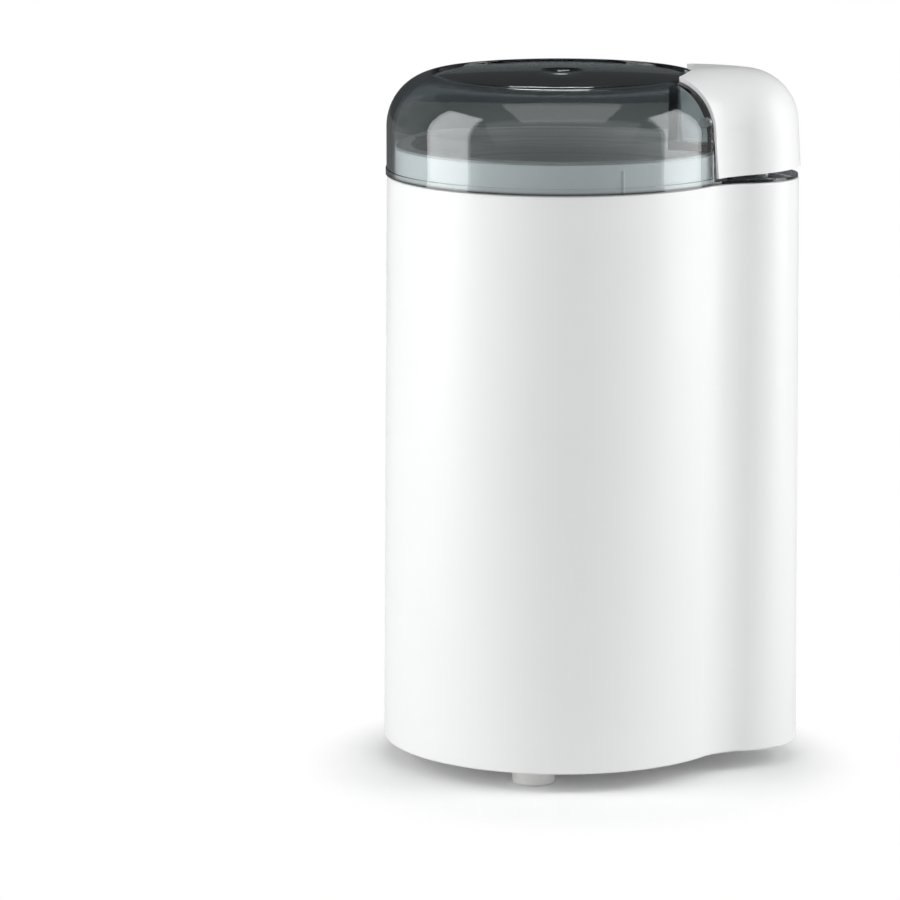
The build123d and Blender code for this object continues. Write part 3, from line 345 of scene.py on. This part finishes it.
finishOf = {
    "whitePlastic": ["housing", "lever", "base_plate", "switch_plunger"],
    "smokePlastic": ["lid_cover"],
    "footRubber": ["feet"],
    "sealRubber": ["cord_gland", "bowl_seal", "shaft_seal"],
    "blackPlastic": ["motor_carrier", "lower_bracket", "switch_body", "switch_button", "thrust_washers", "blade_nut"],
    "bowlSteel": ["grinding_bowl"],
    "bladeSteel": ["blade", "motor_shaft"],
    "screwSteel": ["base_screws", "carrier_screws", "motor_bolts", "switch_screws", "hinge_pin"],
    "springSteel": ["brush_springs", "plunger_spring", "lever_spring"],
    "coreSteel": ["stator_core", "armature_core"],
    "copperWire": ["field_coils", "armature_winding", "commutator"],
    "brass": ["brush_holders", "switch_terminals"],
    "bronze": ["upper_bush", "lower_bush"],
    "brushCarbon": ["carbon_brushes"],
}
for finish, names in finishOf.items():
    for name in names:
        for slot in nodes[name].material_slots:
            slot.material = materials[finish]
print("finishes given to", sum(len(names) for names in finishOf.values()), "nodes")

creaseAngle = math.radians(32)  # drawn pieces shade smooth below it


def gridPiece(name, grids, node, body, finish):
    # each grid (rows, columns, 3) is a tube whose columns wrap round; the piece takes a CAD node's place
    points, faces, start = [], [], 0
    for grid in grids:
        ring = np.allclose(grid[0], grid[-1], atol=1e-9)  # its rows wrap round too
        grid = grid[:-1] if ring else grid
        rows, columns = grid.shape[:2]
        number = start + np.arange(rows * columns).reshape(rows, columns)
        below = number if ring else number[:-1]
        above = np.roll(number, -1, 0) if ring else number[1:]
        quads = np.stack([below, np.roll(below, -1, 1), np.roll(above, -1, 1), above], -1)
        faces += quads.reshape(-1, 4).tolist()
        if not ring:
            faces += [number[0, ::-1].tolist(), number[-1].tolist()]  # an end face on both ends
        points.append(grid.reshape(-1, 3))
        start += number.size
    mesh = bpy.data.meshes.new(name)
    mesh.from_pydata(np.concatenate(points).tolist(), [], faces)
    mesh.polygons.foreach_set("use_smooth", np.ones(len(mesh.polygons), bool))
    mesh.set_sharp_from_angle(angle=creaseAngle)
    mesh.materials.append(materials[finish])
    piece = bpy.data.objects.new(name, mesh)
    bpy.context.scene.collection.objects.link(piece)
    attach(piece, body)
    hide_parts(node)
    return piece


# base screws: domed heads with a cross recess below, a thread that fades to a point above
baseScrews = {"angles": (60, 180, 300), "headRadius": 0.003, "headHeight": 0.0019, "dome": 0.0005, "edge": 0.0004,
              "armHalf": 0.00042, "armReach": 0.0017, "armSlope": 0.00012, "armEnd": 0.0006, "recess": 0.0010,
              "shankRadius": 0.0016, "rootRadius": 0.0012, "pitch": 0.0012, "point": 0.0018, "tip": 0.02,
              "middle": 0.00002, "columns": 96, "crownRows": 26, "edgeRows": 5, "shankRows": 120}


def makeScrews(plan):
    low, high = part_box("base_screws")
    length = high[2] - low[2]
    head, edge = plan["headRadius"], plan["edge"]
    circle = axisX - head - low[0]
    a = np.linspace(0, 2 * np.pi, plan["columns"], endpoint=False)[None, :]

    def arm(side, along):
        # 1 within the arm's half width and reach, sloping to 0 past them
        across = np.clip((plan["armHalf"] - np.abs(side)) / plan["armSlope"] + 0.5, 0, 1)
        return across * np.clip((plan["armReach"] - np.abs(along)) / plan["armEnd"], 0, 1)

    # crown: z = dome * (r / head)^2, deepened by the two arms of the cross
    r = np.linspace(plan["middle"], head - edge, plan["crownRows"])[:, None]
    x, y = r * np.cos(a), r * np.sin(a)
    crown = plan["dome"] * (r / head) ** 2 + plan["recess"] * np.maximum(arm(y, x), arm(x, y))
    # edge: quarter round from the crown to the head's side
    t = np.linspace(0, np.pi / 2, plan["edgeRows"] + 1)[1:, None]
    edgeR = head - edge + edge * np.sin(t) + 0 * a
    edgeZ = plan["dome"] * (1 - edge / head) ** 2 + edge * (1 - np.cos(t)) + 0 * a
    # shank: r = root + (crest - root) * ridge(z / pitch - a / 2 pi), drawn to a point at the end
    z = np.linspace(plan["headHeight"], length, plan["shankRows"])[:, None]
    ridge = np.abs(2 * ((z / plan["pitch"] - a / (2 * np.pi)) % 1) - 1)
    taper = np.clip((length - z) / plan["point"], plan["tip"], 1)
    shank = (plan["rootRadius"] + (plan["shankRadius"] - plan["rootRadius"]) * ridge) * taper
    radius = np.concatenate([r + 0 * a, edgeR, np.full_like(a, head), shank])
    height = np.concatenate([crown, edgeZ, np.full_like(a, plan["headHeight"]), z + 0 * a])
    grids = []
    for angle in np.radians(plan["angles"]):
        place = np.array([axisX + circle * math.cos(angle), circle * math.sin(angle), low[2]])
        grids.append(np.stack([radius * np.cos(a + angle), radius * np.sin(a + angle), height], -1) + place)
    gridPiece("baseScrewSet", grids, "base_screws", "base", "screwSteel")


makeScrews(baseScrews)

# blade: round hub and two turned wings with a long ground bevel on the leading edge
grindBlade = {"hubRadius": 0.009, "bore": 0.0031, "thick": 0.0014, "chamfer": 0.0002, "hubColumns": 72,
              "root": 0.007, "rootWidth": 0.013, "tipWidth": 0.010, "lifts": (0.0032, -0.0016), "pitch": 16.0,
              "tipRound": 0.0026, "tipShare": 0.14, "tipRows": 13, "stations": 28, "endShare": 0.002,
              "bevel": 0.0034, "bevelShare": 0.9, "back": 0.0007, "backShare": 0.3, "edge": 0.0003}


def makeBlade(plan):
    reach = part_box("blade")[1][0] - axisX
    half, hub, bore, c = plan["thick"] / 2, plan["hubRadius"], plan["bore"], plan["chamfer"]
    # hub: closed profile (r, z) turned round the axis
    profile = np.array([(bore, -half), (hub - c, -half), (hub, -half + c), (hub, half - c), (hub - c, half),
                        (bore, half), (bore, -half)])
    a = np.linspace(0, 2 * np.pi, plan["hubColumns"], endpoint=False)
    r, z = profile[:, :1], profile[:, 1:]
    grids = [np.stack([axisX + r * np.cos(a), r * np.sin(a), bladeLevel + half + z + 0 * a], -1)]
    # wing: section (s across, t through) carried in a straight line from root to tip, u in 0..1,
    # narrowed by the tip's corner round and drawn in at both ends
    tip = plan["tipShare"] * np.linspace(1, 0, plan["tipRows"] + 1)[1:] ** 2
    u = np.concatenate([[0.0], np.linspace(0, 1 - plan["tipShare"], plan["stations"]), 1 - tip, [1.0]])[:, None]
    cap = np.ones_like(u)
    cap[0], cap[-1] = plan["endShare"], plan["endShare"]
    width = plan["rootWidth"] + (plan["tipWidth"] - plan["rootWidth"]) * u
    left = np.minimum((1 - u) * (reach - plan["root"]), plan["tipRound"])
    corner = np.sqrt(plan["tipRound"] ** 2 - (plan["tipRound"] - left) ** 2)
    side = width / 2 - plan["tipRound"] + corner
    bevel = np.minimum(plan["bevel"], side * plan["bevelShare"])
    back = np.minimum(plan["back"], side * plan["backShare"])
    edge = plan["edge"] / 2
    s = np.concatenate([-side, -side + back, side - bevel, side, side, side - bevel, -side + back, -side], 1) * cap
    t = np.array([[-edge, -half, -half, -half, -half + 2 * edge, half, half, edge]]) * cap
    tilt = math.radians(plan["pitch"])
    for turn, lift in zip((1, -1), plan["lifts"]):
        along = axisX + turn * (plan["root"] + (reach - plan["root"]) * u) + 0 * s
        # axes of the section go from (0, turn, 0), (0, 0, 1) at the root to the tilted pair at the tip
        acrossY, acrossZ = turn * (1 + (math.cos(tilt) - 1) * u), math.sin(tilt) * u
        throughY, throughZ = -turn * math.sin(tilt) * u, 1 + (math.cos(tilt) - 1) * u
        level = bladeLevel + half + lift * u
        grids.append(np.stack([along, s * acrossY + t * throughY, level + s * acrossZ + t * throughZ], -1))
    gridPiece("grindBlade", grids, "blade", "rotor", "bladeSteel")


makeBlade(grindBlade)

# return springs: wire round a helix, half a turn laid flat at each end
returnSprings = {
    "leverSpring": {"node": "lever_spring", "body": "lid", "joint": "lever_press",
                    "turns": 5, "wire": 0.00035, "drop": 0.00128},
    "plungerSpring": {"node": "plunger_spring", "body": "base", "joint": "plunger_press",
                      "turns": 4, "wire": 0.00025, "drop": 0.00101},
}
springMesh = {"turnRows": 44, "columns": 14, "endShare": 0.02}


def makeSpring(name, plan, grain):
    low, high = (np.array(corner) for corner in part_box(plan["node"]))
    wire, tall = plan["wire"], high[2] - low[2]
    coil = (high[0] - low[0]) / 2 - wire
    foot = ((low[0] + high[0]) / 2, 0, low[2])
    w = np.linspace(0, 1, grain["turnRows"] * plan["turns"] + 1)
    flat = 0.5 / plan["turns"]
    rise = np.clip((w - flat) / (1 - 2 * flat), 0, 1)
    angle = 2 * np.pi * plan["turns"] * w
    # helix (coil cos a, coil sin a, z) with the wire's ring spread along the radius and the coil's own upright
    middle = np.stack([coil * np.cos(angle), coil * np.sin(angle), wire + (tall - 2 * wire) * rise], 1)
    tangent = np.gradient(middle, axis=0)
    tangent /= np.linalg.norm(tangent, axis=1)[:, None]
    outward = np.stack([np.cos(angle), np.sin(angle), 0 * angle], 1)
    upright = np.cross(tangent, outward)
    ring = np.linspace(0, 2 * np.pi, grain["columns"], endpoint=False)[None, :, None]
    tube = middle[:, None] + wire * (np.cos(ring) * outward[:, None] + np.sin(ring) * upright[:, None])
    ends = [middle[k][None, None] + grain["endShare"] * (tube[k] - middle[k])[None] for k in (0, -1)]
    grid = np.concatenate([ends[0], tube, ends[1]]) + np.array(foot)
    piece = gridPiece(name, [grid], plan["node"], plan["body"], "springSteel")
    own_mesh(piece)


for name, plan in returnSprings.items():
    makeSpring(name, plan, springMesh)
print("screws, blade and springs drawn")

# floor: one wide grid, shaded by the lamps near the part, white to the camera past that, dark well behind
floorPlan = {"half": 6.0, "cells": 8, "shadowPlace": (-0.001, -0.014, 0.0), "shadowSpan": (0.052, 0.080),
             "darkSpan": (0.55, 1.30), "tone": (0.90, 0.90, 0.90), "dark": (0.12, 0.13, 0.13),
             "lift": 0.05, "glassShare": 0.13}


def makeFloor(plan):
    # grid u, v in -1..1, place (u * half, v * half, 0)
    lines = plan["cells"] + 1
    steps = np.linspace(-1, 1, lines) * plan["half"]
    u, v = np.meshgrid(steps, steps, indexing="ij")
    points = np.stack([u.ravel(), v.ravel(), np.zeros(u.size)], 1)
    number = np.arange(u.size).reshape(lines, lines)
    faces = np.stack([number[:-1, :-1], number[1:, :-1], number[1:, 1:], number[:-1, 1:]], -1).reshape(-1, 4)
    mesh = bpy.data.meshes.new("floor")
    mesh.from_pydata(points.tolist(), [], faces.tolist())
    floor = bpy.data.objects.new("floor", mesh)
    bpy.context.scene.collection.objects.link(floor)
    mat = bpy.data.materials.new("paleFloor")
    mat.use_nodes = True
    tree = mat.node_tree
    tree.nodes.clear()
    out = tree.nodes.new("ShaderNodeOutputMaterial")
    place = objectPlace(tree)
    far = fit(tree, distanceFrom(tree, place, plan["shadowPlace"]), plan["shadowSpan"], smooth=True)
    behind = fit(tree, splitPlace(tree, place)["Y"], plan["darkSpan"], smooth=True)
    path = tree.nodes.new("ShaderNodeLightPath").outputs
    seen = path["Is Camera Ray"]
    matt = tree.nodes.new("ShaderNodeBsdfDiffuse")
    join(tree, blend(tree, behind, plan["tone"], plan["dark"]), matt.inputs["Color"])
    glow = put(tree, "ShaderNodeEmission", Color=(1, 1, 1, 1))
    join(tree, calc(tree, "MULTIPLY", seen, plan["lift"]), glow.inputs["Strength"])
    near = tree.nodes.new("ShaderNodeAddShader")
    join(tree, matt.outputs[0], near.inputs[0])
    join(tree, glow.outputs[0], near.inputs[1])
    white = put(tree, "ShaderNodeEmission", Color=(1, 1, 1, 1), Strength=1.0)
    through = calc(tree, "MAXIMUM", path["Is Glossy Ray"], path["Is Transmission Ray"])
    shown = calc(tree, "MAXIMUM", seen, calc(tree, "MULTIPLY", through, plan["glassShare"]))
    both = tree.nodes.new("ShaderNodeMixShader")
    join(tree, calc(tree, "MULTIPLY", far, shown), both.inputs["Fac"])
    join(tree, near.outputs[0], both.inputs[1])
    join(tree, white.outputs[0], both.inputs[2])
    join(tree, both.outputs[0], out.inputs["Surface"])
    mesh.materials.append(mat)
    return floor


makeFloor(floorPlan)

# camera: place, turn and lens for a 900 x 900 picture
eye = {"place": (0.11055, -1.3549, 0.3418), "heading": 96.33, "dip": 10.63, "lens": 197.63, "sensor": 36.0,
       "nearest": 0.05, "farthest": 50}
camera = bpy.data.objects.new("camera", bpy.data.cameras.new("camera"))
camera.location = eye["place"]
camera.rotation_euler = (math.radians(90 - eye["dip"]), 0, math.radians(eye["heading"] - 90))
camera.data.lens = eye["lens"]
camera.data.sensor_width = eye["sensor"]
camera.data.clip_start, camera.data.clip_end = eye["nearest"], eye["farthest"]
bpy.context.scene.collection.objects.link(camera)
bpy.context.scene.camera = camera

# lamps: bearing from the camera side (degrees, to its right), distance, middle height, width, height, brightness
lamps = {
    "leftPanel": {"bearing": -80, "reach": 0.75, "rise": 0.40, "wide": 0.46, "tall": 0.80, "bright": 4.85},
    "leftFill": {"bearing": -125, "reach": 0.80, "rise": 0.40, "wide": 0.60, "tall": 0.80, "bright": 0.12},
    "rightPanel": {"bearing": 84, "reach": 0.75, "rise": 0.40, "wide": 0.44, "tall": 0.80, "bright": 4.45},
    "rightFill": {"bearing": 122, "reach": 0.80, "rise": 0.40, "wide": 0.60, "tall": 0.80, "bright": 0.35},
    "topPanel": {"bearing": 0, "reach": 0.30, "rise": 0.85, "wide": 0.70, "tall": 0.60, "bright": 1.35},
    "frontPanel": {"bearing": 0, "reach": 1.80, "rise": 0.95, "wide": 4.40, "tall": 2.00, "bright": 0.60},
    "hairLamp": {"bearing": 180, "reach": 0.90, "rise": 0.80, "wide": 0.15, "tall": 0.07, "bright": 4.5},
}
aimLevel = 0.09  # height on the part that the top and front panels face


def makeLamp(name, plan):
    # area lamp at a bearing; brightness is its radiance, power is pi * area * radiance
    toward = math.radians(eye["heading"] + 180 + plan["bearing"])
    place = np.array([axisX + plan["reach"] * math.cos(toward), plan["reach"] * math.sin(toward), plan["rise"]])
    data = bpy.data.lights.new(name, "AREA")
    data.shape = "RECTANGLE"
    data.size, data.size_y = plan["wide"], plan["tall"]
    data.energy = math.pi * plan["wide"] * plan["tall"] * plan["bright"]
    # the lamp's axes: z away from what it faces, x level, y up its height; side lamps face the axis level with them
    z = place - np.array([axisX, 0.0, aimLevel if plan["bearing"] == 0 else plan["rise"]])
    z /= np.linalg.norm(z)
    x = np.cross([0, 0, 1], z)
    x /= np.linalg.norm(x)
    turn = np.eye(4)
    turn[:3] = np.stack([x, np.cross(z, x), z, place], 1)
    lamp = bpy.data.objects.new(name, data)
    lamp.matrix_world = Matrix(turn)
    lamp.visible_camera = False
    bpy.context.scene.collection.objects.link(lamp)


for name, plan in lamps.items():
    makeLamp(name, plan)

surround = {"Color": (0.88, 0.95, 1.0, 1), "Strength": 0.08}
world = bpy.data.worlds.new("studio")
bpy.context.scene.world = world
world.use_nodes = True
for label, value in surround.items():
    world.node_tree.nodes["Background"].inputs[label].default_value = value
print("stage, camera and lamps set")
